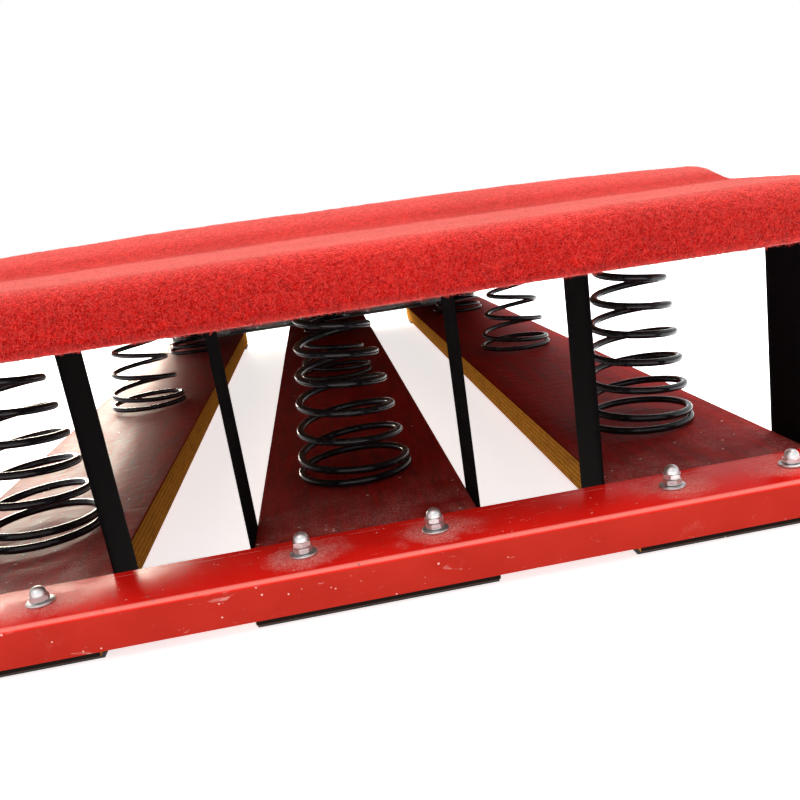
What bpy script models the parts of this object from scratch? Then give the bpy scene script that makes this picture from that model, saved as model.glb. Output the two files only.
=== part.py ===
"""Gymnastics springboard: a carpeted take-off deck hinged over three base boards on conical springs.

Units are metres, +Z is up.  The high take-off end is at -Y and the low run-up end at +Y.  The origin is
the centre of the footprint, on the floor.  Left and right are as seen from the high end.
"""
import math

import bmesh
import bpy
from mathutils import Matrix, Vector

MM = 0.001
GAP = 0.3 * MM                      # clearance between pieces that rest on each other

# Overall size
LENGTH = 1200 * MM
WIDTH = 600 * MM
FRONT_Y = -LENGTH / 2
REAR_Y = LENGTH / 2

# Base boards, their rubber pads and the steel angle that ties their front ends together
SIDES = {"left": -1, "middle": 0, "right": 1}
BOARD_WIDTH = 143 * MM
BOARD_THICKNESS = 25 * MM
BOARD_BOTTOM = 4 * MM
BOARD_TOP = BOARD_BOTTOM + BOARD_THICKNESS
BOARD_PITCH = (WIDTH - BOARD_WIDTH) / 2
PAD_LENGTH = 46 * MM
PAD_SETBACK = 9 * MM
ANGLE_TOP_LEG = 52 * MM
ANGLE_FACE_LEG = 24 * MM
ANGLE_THICKNESS = 3 * MM
ANGLE_BEND = 3.5 * MM
ANGLE_TOP = BOARD_TOP + GAP + ANGLE_THICKNESS

# M6 hardware of the angle
FASTENER_SPACING = 79 * MM
FASTENER_SETBACK = 27 * MM
BOLT_RADIUS = 3 * MM
BOLT_HOLE = BOLT_RADIUS + GAP
BOLT_HEAD_RADIUS = 7 * MM
BOLT_HEAD_HEIGHT = 3 * MM
WASHER_RADIUS = 8 * MM
WASHER_THICKNESS = 1.4 * MM
NUT_FLATS = 10 * MM
JAM_NUT_HEIGHT = 3.6 * MM
ACORN_HEX_HEIGHT = 3.8 * MM
ACORN_HEIGHT = 8.5 * MM
ACORN_DOME_RADIUS = 4.6 * MM
ACORN_BORE_DEPTH = 5.5 * MM
JAM_NUT_PLACES = (3, 4, 5)          # the places, counted from the left, that also carry a jam nut

# Hinge at the low end: a full-width piano hinge
HINGE_Y = REAR_Y - 6 * MM
KNUCKLE_RADIUS = 3.5 * MM
KNUCKLE_BORE = 1.9 * MM
PIN_RADIUS = 1.55 * MM
LEAF_THICKNESS = 1.5 * MM
LEAF_REACH = 44 * MM
HINGE_LENGTH = 590 * MM
KNUCKLES = 11
KNUCKLE_PLAY = 0.6 * MM
HINGE_Z = BOARD_TOP + GAP + KNUCKLE_RADIUS
REAR_SCREW_SETBACK = 30 * MM
REAR_SCREW_RADIUS = 2.2 * MM
REAR_SCREW_LENGTH = 22 * MM
REAR_SCREW_HEAD_RADIUS = 4.6 * MM
REAR_SCREW_HEAD_HEIGHT = 2.2 * MM

# Deck: plywood panel, foam and a wrapped carpet
DECK_REAR_Y = REAR_Y - 10 * MM
DECK_EDGE_Z = 171 * MM              # underside of the carpet at the high end
BEND_START = -450 * MM              # the deck is level in front of here
BEND_LENGTH = 220 * MM
PANEL_THICKNESS = 15 * MM
CARPET = 4 * MM
CARPET_LIP = 45 * MM                # how far the carpet is turned under the deck
LAYER_GAP = 1.0 * MM
EDGE_RADIUS = 14 * MM
FRONT_THICKNESS = 33 * MM           # carpet to carpet at the front edge
STEP_START = -478 * MM              # the foam grows thicker from here to STEP_END
STEP_END = -412 * MM
STEP_THICKNESS = 36.5 * MM
FULL_THICKNESS = 48 * MM
CROWN = 5 * MM                      # the padding stands this much higher along the middle
TAPER_START = 430 * MM
REAR_THICKNESS = 33 * MM
FOAM_FEATHER = 0.5 * MM             # thinnest the foam gets at its edges

# Conical springs, three rows of three
SPRING_ROWS = {"front": -418 * MM, "mid": -12 * MM, "rear": 412 * MM}
SPRING_SHIFT = {("front", "left"): -18 * MM}        # one spring stands nearer the high end
SPRING_PITCH = {"front": 20.4 * MM, "mid": 24 * MM, "rear": 14 * MM}
WIRE_RADIUS = 2.8 * MM
SPRING_BASE_RADIUS = 44.0 * MM
SPRING_TOP_RADIUS = 24.5 * MM
CLOSED_RISE = 5.4 * MM              # height gained by the closed turn at each end
POINTS_PER_TURN = 10

# Straps that stop the deck from rising, one loop round each board
STRAP_WIDTH = 50 * MM
STRAP_THICKNESS = 2 * MM
STRAP_Y = FRONT_Y + 83 * MM
STRAP_LEAN = 3 * MM                 # the outermost run leans in under the deck's edge
STRAP_FLAP = 26 * MM
CLAMP_WIDTH = 20 * MM
CLAMP_THICKNESS = 2.5 * MM


def smooth(value, start, end):
    """0 before start, 1 after end, with an easy curve between them."""
    t = min(max((value - start) / (end - start), 0.0), 1.0)
    return t * t * (3 - 2 * t)


# The straight run of the deck's underside passes just over the hinge knuckles.
HINGE_FACE_Z = HINGE_Z + KNUCKLE_RADIUS + GAP
SLOPE = (DECK_EDGE_Z - HINGE_FACE_Z) / (HINGE_Y - BEND_START - BEND_LENGTH / 2)
SLOPE_ANGLE = math.atan(SLOPE)


def underside(y):
    """Height of the deck's underside: level, then a parabolic bend, then straight down to the hinge."""
    run = max(y - BEND_START, 0.0)
    if run < BEND_LENGTH:
        return DECK_EDGE_Z - SLOPE * run * run / (2 * BEND_LENGTH)
    return DECK_EDGE_Z - SLOPE * (run - BEND_LENGTH / 2)


def deck_slope(y):
    """How steeply the underside falls towards +Y."""
    return SLOPE * min(max((y - BEND_START) / BEND_LENGTH, 0.0), 1.0)


def deck_top(x, y):
    """Height of the carpet's upper face, before its edges are rounded."""
    front_run = min((y - FRONT_Y) / (STEP_START - FRONT_Y), 1.0)
    front = FRONT_THICKNESS + (STEP_THICKNESS - FRONT_THICKNESS) * front_run
    full = FULL_THICKNESS + CROWN * (1 - (2 * x / WIDTH) ** 2)
    thickness = front + (full - front) * smooth(y, STEP_START, STEP_END)
    thickness += (REAR_THICKNESS - thickness) * smooth(y, TAPER_START, DECK_REAR_Y)
    return underside(y) + thickness


def board_x(side):
    return SIDES[side] * BOARD_PITCH


def fastener_centres(side, y):
    """The (x, y) of the two fasteners on one end of a board."""
    return [(board_x(side) + sign * FASTENER_SPACING / 2, y) for sign in (-1, 1)]


def numbered_centres(y):
    """All six fasteners at one end, numbered from the left."""
    return list(enumerate([centre for side in SIDES for centre in fastener_centres(side, y)], start=1))


# ---------------------------------------------------------------- scene, materials and helpers
for old in list(bpy.data.objects):
    bpy.data.objects.remove(old, do_unlink=True)

parts = bpy.data.collections.new("springboard")
cutters = bpy.data.collections.new("cutters")
for collection in (parts, cutters):
    bpy.context.scene.collection.children.link(collection)


def material(name, colour, roughness, metallic=0.0):
    made = bpy.data.materials.new(name)
    made.use_nodes = True
    shader = made.node_tree.nodes["Principled BSDF"]
    shader.inputs["Base Color"].default_value = (*colour, 1.0)
    shader.inputs["Roughness"].default_value = roughness
    shader.inputs["Metallic"].default_value = metallic
    return made


RED_ENAMEL = material("red_enamel", (0.62, 0.02, 0.015), 0.3)
STAINED_PLY = material("stained_ply", (0.13, 0.012, 0.01), 0.45)
BARE_PLY = material("bare_ply", (0.55, 0.36, 0.17), 0.6)
BLACK_RUBBER = material("black_rubber", (0.03, 0.03, 0.03), 0.8)
BLACK_WIRE = material("black_wire", (0.01, 0.01, 0.012), 0.25)
ZINC = material("zinc", (0.72, 0.74, 0.76), 0.3, 1.0)
WEBBING = material("webbing", (0.012, 0.012, 0.014), 0.85)
FOAM = material("foam", (0.78, 0.74, 0.6), 0.9)
CARPET_FELT = material("carpet_felt", (0.62, 0.02, 0.02), 0.95)


def add_part(name, mesh, finish, collection=parts):
    made = bpy.data.objects.new(name, mesh)
    collection.objects.link(made)
    if finish:
        mesh.materials.append(finish)
    return made


def mesh_from(bm, name, smooth_angle=None):
    """Finish a bmesh with its faces pointing out."""
    bmesh.ops.recalc_face_normals(bm, faces=bm.faces[:])
    mesh = bpy.data.meshes.new(name)
    bm.to_mesh(mesh)
    bm.free()
    if smooth_angle:
        mesh.shade_smooth()
        mesh.set_sharp_from_angle(angle=math.radians(smooth_angle))
    return mesh


def box(name, low, high, finish, collection=parts):
    """A block between two corners, with its origin at its centre."""
    low, high = Vector(low), Vector(high)
    bm = bmesh.new()
    bmesh.ops.create_cube(bm, size=1.0)
    bmesh.ops.scale(bm, vec=high - low, verts=bm.verts[:])
    made = add_part(name, mesh_from(bm, name), finish, collection)
    made.location = (low + high) / 2
    return made


def cylinder(name, centre, radius, low, high, finish, sides=12, collection=parts):
    """An upright round bar, or a hexagonal one with 6 sides."""
    bm = bmesh.new()
    bmesh.ops.create_cone(
        bm, cap_ends=True, segments=sides, radius1=radius, radius2=radius, depth=high - low)
    made = add_part(name, mesh_from(bm, name, 35), finish, collection)
    made.location = (centre[0], centre[1], (low + high) / 2)
    return made


def combine(target, other, operation):
    """Cut other out of target, or join it on, and keep other as a guide."""
    other.hide_render = True
    other.display_type = "WIRE"
    change = target.modifiers.new(f"{operation.lower()}_{other.name}", "BOOLEAN")
    change.operation = operation
    change.object = other
    change.solver = "EXACT"


def drill(target, name, centres, radius, low, high, sides=12):
    """Cut upright holes at the given (x, y) centres, all with one cutter."""
    bm = bmesh.new()
    for x, y in centres:
        bmesh.ops.create_cone(bm, cap_ends=True, segments=sides, radius1=radius, radius2=radius,
                              depth=high - low, matrix=Matrix.Translation((x, y, (low + high) / 2)))
    combine(target, add_part(name, mesh_from(bm, name), None, cutters), "DIFFERENCE")


def flat_curve(name, outlines, length):
    """Closed 2D outlines, holes included, extruded to a length along the curve's own Z."""
    curve = bpy.data.curves.new(name, "CURVE")
    curve.dimensions = "2D"
    curve.fill_mode = "BOTH"
    curve.extrude = length / 2
    for outline in outlines:
        spline = curve.splines.new("POLY")
        spline.points.add(len(outline) - 1)
        for point, (x, y) in zip(spline.points, outline):
            point.co = (x, y, 0, 1)
        spline.use_cyclic_u = True
    return curve


def extruded_along_x(name, outlines, finish):
    """A (y, z) outline in metres run along X, as a welded mesh that Boolean can cut."""
    run = add_part(f"{name}_run", flat_curve(name, *outlines), None, cutters)
    run.matrix_world = Matrix(((0, 0, 1, 0), (1, 0, 0, 0), (0, 1, 0, 0), (0, 0, 0, 1)))
    bpy.context.view_layer.update()
    evaluated = run.evaluated_get(bpy.context.evaluated_depsgraph_get())
    mesh = bpy.data.meshes.new_from_object(evaluated)
    bm = bmesh.new()
    bm.from_mesh(mesh)
    bmesh.ops.remove_doubles(bm, verts=bm.verts[:], dist=1e-6)
    bmesh.ops.recalc_face_normals(bm, faces=bm.faces[:])
    bm.to_mesh(mesh)
    bm.free()
    mesh.materials.clear()
    made = add_part(name, mesh, finish)
    made.matrix_world = run.matrix_world
    bpy.data.objects.remove(run)
    return made


def arc(centre, radius, start, end, steps):
    """Points on an arc, angles in degrees."""
    angles = [math.radians(start + (end - start) * i / steps) for i in range(steps + 1)]
    return [(centre[0] + radius * math.cos(a), centre[1] + radius * math.sin(a)) for a in angles]


# ---------------------------------------------------------------- base
def make_boards():
    boards = {}
    for side in SIDES:
        x = board_x(side)
        boards[side] = box(
            f"base_board_{side}",
            (x - BOARD_WIDTH / 2, FRONT_Y + ANGLE_THICKNESS + GAP, BOARD_BOTTOM),
            (x + BOARD_WIDTH / 2, REAR_Y, BOARD_TOP),
            STAINED_PLY)
    return boards


def make_pads():
    """Rubber strips under both ends of each board, which the springboard stands on."""
    for side in SIDES:
        for end, sign in (("front", -1), ("rear", 1)):
            outer = sign * (LENGTH / 2 - PAD_SETBACK)
            inner = outer - sign * PAD_LENGTH
            box(f"{end}_pad_{side}",
                (board_x(side) - BOARD_WIDTH / 2, min(outer, inner), 0),
                (board_x(side) + BOARD_WIDTH / 2, max(outer, inner), BOARD_BOTTOM - GAP),
                BLACK_RUBBER)


def make_front_angle():
    """Steel angle over the front ends of the boards: a wide top leg and a narrow face leg."""
    bend = (FRONT_Y + ANGLE_BEND, ANGLE_TOP - ANGLE_BEND)
    outer = [(2 * bend[0] - y, z) for y, z in arc(bend, ANGLE_BEND, 0, 90, 4)]
    outline = [
        (FRONT_Y + ANGLE_THICKNESS, ANGLE_TOP - ANGLE_FACE_LEG),
        (FRONT_Y, ANGLE_TOP - ANGLE_FACE_LEG),
        *outer,
        (FRONT_Y + ANGLE_TOP_LEG, ANGLE_TOP),
        (FRONT_Y + ANGLE_TOP_LEG, ANGLE_TOP - ANGLE_THICKNESS),
        (FRONT_Y + ANGLE_THICKNESS, ANGLE_TOP - ANGLE_THICKNESS),
    ]
    return extruded_along_x("front_angle", ([outline], WIDTH), RED_ENAMEL)


def make_acorn_nut(name, centre, seat):
    """Hexagonal base with a domed cap and a blind hole."""
    nut = cylinder(name, centre, NUT_FLATS / math.sqrt(3), seat, seat + ACORN_HEX_HEIGHT, ZINC, 6)
    waist = ACORN_HEX_HEIGHT * 0.6
    steps = 4
    side_height = ACORN_HEIGHT - waist - ACORN_DOME_RADIUS
    profile = [(ACORN_DOME_RADIUS * math.sin(a), waist + side_height + ACORN_DOME_RADIUS * math.cos(a))
               for a in (math.pi / 2 * i / steps for i in range(steps + 1))]
    profile += [(ACORN_DOME_RADIUS, waist), (0.0, waist)]
    dome = bpy.data.meshes.new(f"{name}_dome")
    dome.from_pydata([(x, 0, z) for x, z in profile], [(i, i + 1) for i in range(len(profile) - 1)], [])
    cap = add_part(f"{name}_dome", dome, None, cutters)
    cap.location = (centre[0], centre[1], seat)
    turn = cap.modifiers.new("turn", "SCREW")
    turn.steps = turn.render_steps = 12
    turn.use_merge_vertices = True
    turn.merge_threshold = 0.00005
    combine(nut, cap, "UNION")
    drill(nut, f"{name}_bore", [centre], BOLT_HOLE, seat - MM, seat + ACORN_BORE_DEPTH)


def make_front_fasteners(boards, front_angle):
    """Recessed bolts up through board and angle, each with a washer and an acorn nut."""
    y = FRONT_Y + FASTENER_SETBACK
    places = numbered_centres(y)
    drill(front_angle, "front_angle_holes", [centre for _, centre in places],
          BOLT_HOLE, BOARD_TOP - MM, ANGLE_TOP + MM)
    head_top = BOARD_BOTTOM + BOLT_HEAD_HEIGHT
    for side, board in boards.items():
        centres = fastener_centres(side, y)
        drill(board, f"bolt_holes_{side}", centres, BOLT_HOLE, 0, ANGLE_TOP)
        drill(board, f"recesses_{side}", centres, BOLT_HEAD_RADIUS + GAP, 0, head_top + GAP)

    for number, centre in places:
        seat = ANGLE_TOP + GAP
        washer = cylinder(
            f"washer_{number}", centre, WASHER_RADIUS, seat, seat + WASHER_THICKNESS, ZINC, 24)
        drill(washer, f"washer_hole_{number}", [centre], BOLT_HOLE, seat - MM, seat + 3 * MM)
        seat += WASHER_THICKNESS + GAP
        if number in JAM_NUT_PLACES:
            nut = cylinder(f"jam_nut_{number}", centre, NUT_FLATS / math.sqrt(3),
                           seat, seat + JAM_NUT_HEIGHT, ZINC, 6)
            drill(nut, f"jam_hole_{number}", [centre], BOLT_HOLE, seat - MM, seat + 6 * MM)
            seat += JAM_NUT_HEIGHT + GAP
        make_acorn_nut(f"acorn_nut_{number}", centre, seat)

        bolt = cylinder(f"front_bolt_{number}", centre, BOLT_HEAD_RADIUS, BOARD_BOTTOM, head_top, ZINC)
        shank = cylinder(f"shank_{number}", centre, BOLT_RADIUS,
                         head_top - MM, seat + ACORN_BORE_DEPTH - GAP, None, 12, cutters)
        combine(bolt, shank, "UNION")


# ---------------------------------------------------------------- hinge
def make_hinge_leaf(name, above, keeps_even):
    """A leaf with its knuckles.  The upper leaf lies over the pin and follows the deck's slope."""
    flip = 1 if above else -1
    tilt = SLOPE_ANGLE if above else 0.0

    def place(y, z):
        """From the leaf's own plane, pin at (0, 0), to the object's frame."""
        z *= flip
        return (HINGE_Y + y * math.cos(tilt) + z * math.sin(tilt),
                HINGE_Z - y * math.sin(tilt) + z * math.cos(tilt))

    inner_face = KNUCKLE_RADIUS - LEAF_THICKNESS
    meets = math.degrees(math.asin(inner_face / KNUCKLE_RADIUS))
    outline = [(-LEAF_REACH, inner_face), (-LEAF_REACH, KNUCKLE_RADIUS)]
    outline += arc((0, 0), KNUCKLE_RADIUS, 90, -180 - meets, 12)
    bore = arc((0, 0), KNUCKLE_BORE, 0, 330, 11)
    leaf = extruded_along_x(
        name, ([[place(*p) for p in outline], [place(*p) for p in bore]], HINGE_LENGTH), ZINC)

    step = HINGE_LENGTH / KNUCKLES
    reach = 2 * (KNUCKLE_RADIUS + 0.8 * MM)
    notches = bmesh.new()
    for i in range(1 if keeps_even else 0, KNUCKLES, 2):
        middle = Matrix.Translation(((i + 0.5) * step - HINGE_LENGTH / 2, HINGE_Y, HINGE_Z))
        size = Matrix.Diagonal((step + KNUCKLE_PLAY, reach, reach, 1))
        bmesh.ops.create_cube(notches, size=1.0, matrix=middle @ size)
    cutter = add_part(f"{name}_notches", mesh_from(notches, f"{name}_notches"), None, cutters)
    combine(leaf, cutter, "DIFFERENCE")
    return leaf


def make_hinge_pin():
    bm = bmesh.new()
    bmesh.ops.create_cone(bm, cap_ends=True, segments=12, radius1=PIN_RADIUS, radius2=PIN_RADIUS,
                          depth=HINGE_LENGTH, matrix=Matrix.Rotation(math.pi / 2, 4, "Y"))
    pin = add_part("hinge_pin", mesh_from(bm, "hinge_pin", 35), ZINC)
    pin.location = (0, HINGE_Y, HINGE_Z)


def make_rear_screws(boards, lower_leaf):
    """Pan-head screws that hold the lower leaf down on the boards."""
    y = REAR_Y - REAR_SCREW_SETBACK
    seat = BOARD_TOP + GAP + LEAF_THICKNESS + GAP
    foot = seat - REAR_SCREW_LENGTH
    hole = REAR_SCREW_RADIUS + GAP
    places = numbered_centres(y)
    centres = [centre for _, centre in places]
    drill(lower_leaf, "leaf_holes", centres, hole, BOARD_TOP, seat + MM)
    for side, board in boards.items():
        drill(board, f"pilot_holes_{side}", fastener_centres(side, y), hole, foot - GAP, ANGLE_TOP)
    for number, centre in places:
        screw = cylinder(f"rear_screw_{number}", centre, REAR_SCREW_HEAD_RADIUS,
                         seat, seat + REAR_SCREW_HEAD_HEIGHT, ZINC)
        shank = cylinder(f"rear_shank_{number}", centre, REAR_SCREW_RADIUS,
                         foot, seat + MM, None, 12, cutters)
        combine(screw, shank, "UNION")


# ---------------------------------------------------------------- deck
def spread(start, end, spans):
    return [start + (end - start) * i / spans for i in range(spans + 1)]


def deck_stations(inset, radius):
    """X and Y lines of a deck layer's grid, close together where its edges are rounded."""
    half, front, rear = WIDTH / 2 - inset, FRONT_Y + inset, DECK_REAR_Y - inset
    rim = [radius * share for share in (0.0, 0.13, 0.5, 1.0)] if radius > 0 else [0.0]
    across = spread(-WIDTH / 3, WIDTH / 3, 4)
    along = [-500 * MM, *spread(STEP_START, STEP_END, 4), *spread(-330 * MM, BEND_START + BEND_LENGTH, 2),
             0.0, 250 * MM, *spread(TAPER_START, DECK_REAR_Y - CARPET_LIP, 3)]
    xs = [-half + e for e in rim] + across + [half - e for e in reversed(rim)]
    between = [y for y in along if front < y < rear]
    ys = [front + e for e in rim] + between + [rear - e for e in reversed(rim)]
    return xs, ys


def edge_drop(distance, radius):
    """How far a rounded edge falls at a distance in from it."""
    if distance >= radius:
        return 0.0
    return radius - math.sqrt(radius * radius - (radius - distance) ** 2)


def deck_layer(inset, radius, lower, upper):
    """A closed slab of the deck: a grid shaped by upper(x, y), pushed down to lower(y)."""
    xs, ys = deck_stations(inset, radius)
    bm = bmesh.new()
    bmesh.ops.create_grid(bm, x_segments=len(xs) - 1, y_segments=len(ys) - 1, size=0.5)
    spots = {}
    for vert in bm.verts:
        i = round((vert.co.x + 0.5) * (len(xs) - 1))
        j = round((vert.co.y + 0.5) * (len(ys) - 1))
        spots[vert] = (xs[i], ys[j])
    for vert, (x, y) in spots.items():
        vert.co = (x, y, upper(x, y))
    pushed = bmesh.ops.extrude_face_region(bm, geom=bm.faces[:])["geom"]
    for item in pushed:
        if isinstance(item, bmesh.types.BMVert):
            item.co.z = lower(item.co.y)
    return bm


def rounded_top(inset):
    """The carpet's upper face moved in and down by inset, with its edges rounded."""
    radius = EDGE_RADIUS - inset
    half, front, rear = WIDTH / 2 - inset, FRONT_Y + inset, DECK_REAR_Y - inset

    def height(x, y):
        nearest = min(half - abs(x), y - front, rear - y)
        return deck_top(x, y) - inset - edge_drop(nearest, radius)
    return height


def make_deck():
    inset = CARPET + LAYER_GAP

    def panel_bottom(y):
        return underside(y) + CARPET + GAP

    def panel_top(x, y):
        return panel_bottom(y) + PANEL_THICKNESS

    panel = deck_layer(inset, 0.0, panel_bottom, panel_top)
    bmesh.ops.dissolve_limit(panel, angle_limit=math.radians(0.2), verts=panel.verts[:],
                             edges=panel.edges[:])
    add_part("deck_panel", mesh_from(panel, "deck_panel", 35), BARE_PLY)

    def foam_bottom(y):
        return panel_top(0, y) + GAP

    def foam_top(x, y):
        return max(rounded_top(inset)(x, y), foam_bottom(y) + FOAM_FEATHER)

    foam = deck_layer(inset, EDGE_RADIUS - inset, foam_bottom, foam_top)
    add_part("deck_foam", mesh_from(foam, "deck_foam", 35), FOAM)

    skin = deck_layer(0.0, EDGE_RADIUS, underside, rounded_top(0.0))
    carpet = add_part("deck_carpet", mesh_from(skin, "deck_carpet", 35), CARPET_FELT)
    hollow = deck_layer(CARPET, EDGE_RADIUS - CARPET, lambda y: underside(y) + CARPET, rounded_top(CARPET))
    opening = deck_layer(CARPET_LIP, 0.0, lambda y: underside(y) - CARPET,
                         lambda x, y: underside(y) + 2 * CARPET)
    for name, cut in (("carpet_hollow", hollow), ("carpet_opening", opening)):
        combine(carpet, add_part(name, mesh_from(cut, name), None, cutters), "DIFFERENCE")


# ---------------------------------------------------------------- springs
def spring_path(centre_x, centre_y, pitch):
    """Centre line of a left-handed conical spring, closed at both ends, its top along the deck."""
    foot = BOARD_TOP + GAP + WIRE_RADIUS
    head = underside(centre_y) + CARPET - WIRE_RADIUS
    height = head - foot
    turns = 2 + (height - 2 * CLOSED_RISE) / pitch
    count = round(turns * POINTS_PER_TURN)
    heights = [0.0]
    for i in range(count):
        turn = (i + 0.5) / POINTS_PER_TURN
        open_part = smooth(turn, 0.75, 1.35) * smooth(turns - turn, 0.75, 1.35)
        heights.append(heights[-1] + CLOSED_RISE + (pitch - CLOSED_RISE) * open_part)
    points = []
    for i, raw in enumerate(heights):
        share = raw / heights[-1]
        angle = -2 * math.pi * i / POINTS_PER_TURN
        radius = SPRING_BASE_RADIUS + (SPRING_TOP_RADIUS - SPRING_BASE_RADIUS) * share - WIRE_RADIUS
        x = radius * math.cos(angle)
        y = radius * math.sin(angle)
        points.append((centre_x + x, centre_y + y, foot + height * share - deck_slope(centre_y) * y * share))
    return points


def make_springs():
    for row, y in SPRING_ROWS.items():
        for side in SIDES:
            centre_y = y + SPRING_SHIFT.get((row, side), 0.0)
            path = spring_path(board_x(side), centre_y, SPRING_PITCH[row])
            wire = bpy.data.curves.new(f"spring_{row}_{side}", "CURVE")
            wire.dimensions = "3D"
            wire.bevel_depth = WIRE_RADIUS
            wire.bevel_resolution = 1
            wire.use_fill_caps = True
            spline = wire.splines.new("POLY")
            spline.points.add(len(path) - 1)
            for point, place in zip(spline.points, path):
                point.co = (*place, 1)
            add_part(f"spring_{row}_{side}", wire, BLACK_WIRE)


# ---------------------------------------------------------------- straps
def make_strap(side):
    """A webbing loop: under the board, up both its sides and turned in under the deck."""
    x = board_x(side)
    reach = BOARD_WIDTH / 2 + GAP + STRAP_THICKNESS / 2
    top = underside(STRAP_Y) - GAP - STRAP_THICKNESS / 2
    low = BOARD_BOTTOM - GAP - STRAP_THICKNESS / 2
    lean = {-1: STRAP_LEAN if side == "left" else 0.0, 1: STRAP_LEAN if side == "right" else 0.0}
    route = []
    for sign in (-1, 1):
        head = reach - lean[sign]
        run = [(x + sign * (head - STRAP_FLAP), top), (x + sign * head, top),
               (x + sign * reach, BOARD_TOP), (x + sign * reach, low)]
        route += run if sign < 0 else list(reversed(run))

    bm = bmesh.new()
    corners = [bm.verts.new((px, STRAP_Y - STRAP_WIDTH / 2, pz)) for px, pz in route]
    edges = [bm.edges.new(pair) for pair in zip(corners, corners[1:])]
    wide = bmesh.ops.extrude_edge_only(bm, edges=edges)["geom"]
    new_verts = [item for item in wide if isinstance(item, bmesh.types.BMVert)]
    bmesh.ops.translate(bm, vec=(0, STRAP_WIDTH, 0), verts=new_verts)
    strap = add_part(f"strap_{side}", mesh_from(bm, f"strap_{side}"), WEBBING)
    weave = strap.modifiers.new("webbing", "SOLIDIFY")
    weave.thickness = STRAP_THICKNESS
    weave.offset = 0
    weave.use_even_offset = True

    clear = STRAP_THICKNESS + GAP
    face = top - STRAP_THICKNESS / 2 - GAP
    box(f"strap_clamp_{side}",
        (x - reach + lean[-1] + clear, STRAP_Y - CLAMP_WIDTH / 2, face - CLAMP_THICKNESS),
        (x + reach - lean[1] - clear, STRAP_Y + CLAMP_WIDTH / 2, face), ZINC)


# ---------------------------------------------------------------- assembly
boards_by_side = make_boards()
make_pads()
angle_front = make_front_angle()
make_front_fasteners(boards_by_side, angle_front)
leaf_lower = make_hinge_leaf("hinge_leaf_lower", above=False, keeps_even=True)
make_hinge_leaf("hinge_leaf_upper", above=True, keeps_even=False)
make_hinge_pin()
make_rear_screws(boards_by_side, leaf_lower)
make_deck()
make_springs()
for strap_side in SIDES:
    make_strap(strap_side)
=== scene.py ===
"""Looks of the gymnastics springboard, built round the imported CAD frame.

Units are metres, +Z is up.  The high take-off end is at -Y, the hinged run-up end at +Y.
"""
import math
import random

import bmesh
import bpy
import numpy as np
from mathutils import Euler, Matrix, Vector, noise


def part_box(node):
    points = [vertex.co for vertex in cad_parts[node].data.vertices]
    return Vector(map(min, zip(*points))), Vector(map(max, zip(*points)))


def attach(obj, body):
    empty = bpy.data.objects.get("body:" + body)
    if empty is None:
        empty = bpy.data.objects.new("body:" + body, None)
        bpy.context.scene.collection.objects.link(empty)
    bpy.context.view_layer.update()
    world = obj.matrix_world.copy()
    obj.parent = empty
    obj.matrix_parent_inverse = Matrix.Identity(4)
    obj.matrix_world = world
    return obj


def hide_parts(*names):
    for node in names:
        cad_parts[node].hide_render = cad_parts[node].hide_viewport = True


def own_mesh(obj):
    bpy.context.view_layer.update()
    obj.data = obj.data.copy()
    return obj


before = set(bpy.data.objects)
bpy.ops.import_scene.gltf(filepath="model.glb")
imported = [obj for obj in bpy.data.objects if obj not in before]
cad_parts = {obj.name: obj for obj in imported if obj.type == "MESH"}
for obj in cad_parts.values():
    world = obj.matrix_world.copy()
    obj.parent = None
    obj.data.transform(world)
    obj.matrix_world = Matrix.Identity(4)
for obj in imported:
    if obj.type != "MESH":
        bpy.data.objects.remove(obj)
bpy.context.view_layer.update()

MM = 0.001
GAP = 0.3 * MM
CORNER = 24 * MM            # plan radius of the deck's corners
LIP_EDGE_RADIUS = 6 * MM
CARPET_GRID = 3.2 * MM
SIDES = ("left", "middle", "right")
SIGNS = {"left": -1, "middle": 0, "right": 1}
ROWS = ("front", "mid", "rear")

# ---------------------------------------------------------------- dimensions shared with the CAD
WIDTH = 600 * MM
FRONT_Y = -600 * MM
DECK_REAR_Y = 590 * MM
ANGLE_THICKNESS = 3 * MM
HINGE_Y = 594 * MM
HINGE_Z = 32.8 * MM
KNUCKLE_RADIUS = 3.5 * MM
KNUCKLES = 11
KNUCKLE_PLAY = 0.6 * MM
LEAF_THICKNESS = 1.5 * MM
LEAF_REACH = 44 * MM
DECK_EDGE_Z = 171 * MM
BEND_START = -450 * MM
BEND_LENGTH = 220 * MM
PANEL_THICKNESS = 15 * MM
CARPET = 4 * MM
CARPET_LIP = 45 * MM
LAYER_GAP = 1.0 * MM
EDGE_RADIUS = 18 * MM
FRONT_THICKNESS = 33 * MM
STEP_START = -478 * MM
STEP_END = -412 * MM
STEP_THICKNESS = 36.5 * MM
FULL_THICKNESS = 48 * MM
CROWN = 5 * MM
TAPER_START = 430 * MM
REAR_THICKNESS = 33 * MM
SPRING_PITCH = {"front": 20.4 * MM, "mid": 24 * MM, "rear": 14 * MM}
WIRE_RADIUS = 2.8 * MM
SPRING_BASE_RADIUS = 44 * MM
SPRING_TOP_RADIUS = 24.5 * MM
CLOSED_RISE = 5.4 * MM
STRAP_THICKNESS = 2 * MM
STRAP_LEAN = 3 * MM
STRAP_FLAP = 26 * MM
NUT_FLATS = 10 * MM
BOLT_HOLE = 3.3 * MM
BOLT_SHANK = 3 * MM
BOLT_HEAD = 3 * MM

HINGE_FACE_Z = HINGE_Z + KNUCKLE_RADIUS + GAP
SLOPE = (DECK_EDGE_Z - HINGE_FACE_Z) / (HINGE_Y - BEND_START - BEND_LENGTH / 2)
SLOPE_ANGLE = math.atan(SLOPE)
BOARD_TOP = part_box("base_board_middle")[1].z
BOARD_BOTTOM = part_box("base_board_middle")[0].z


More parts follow.
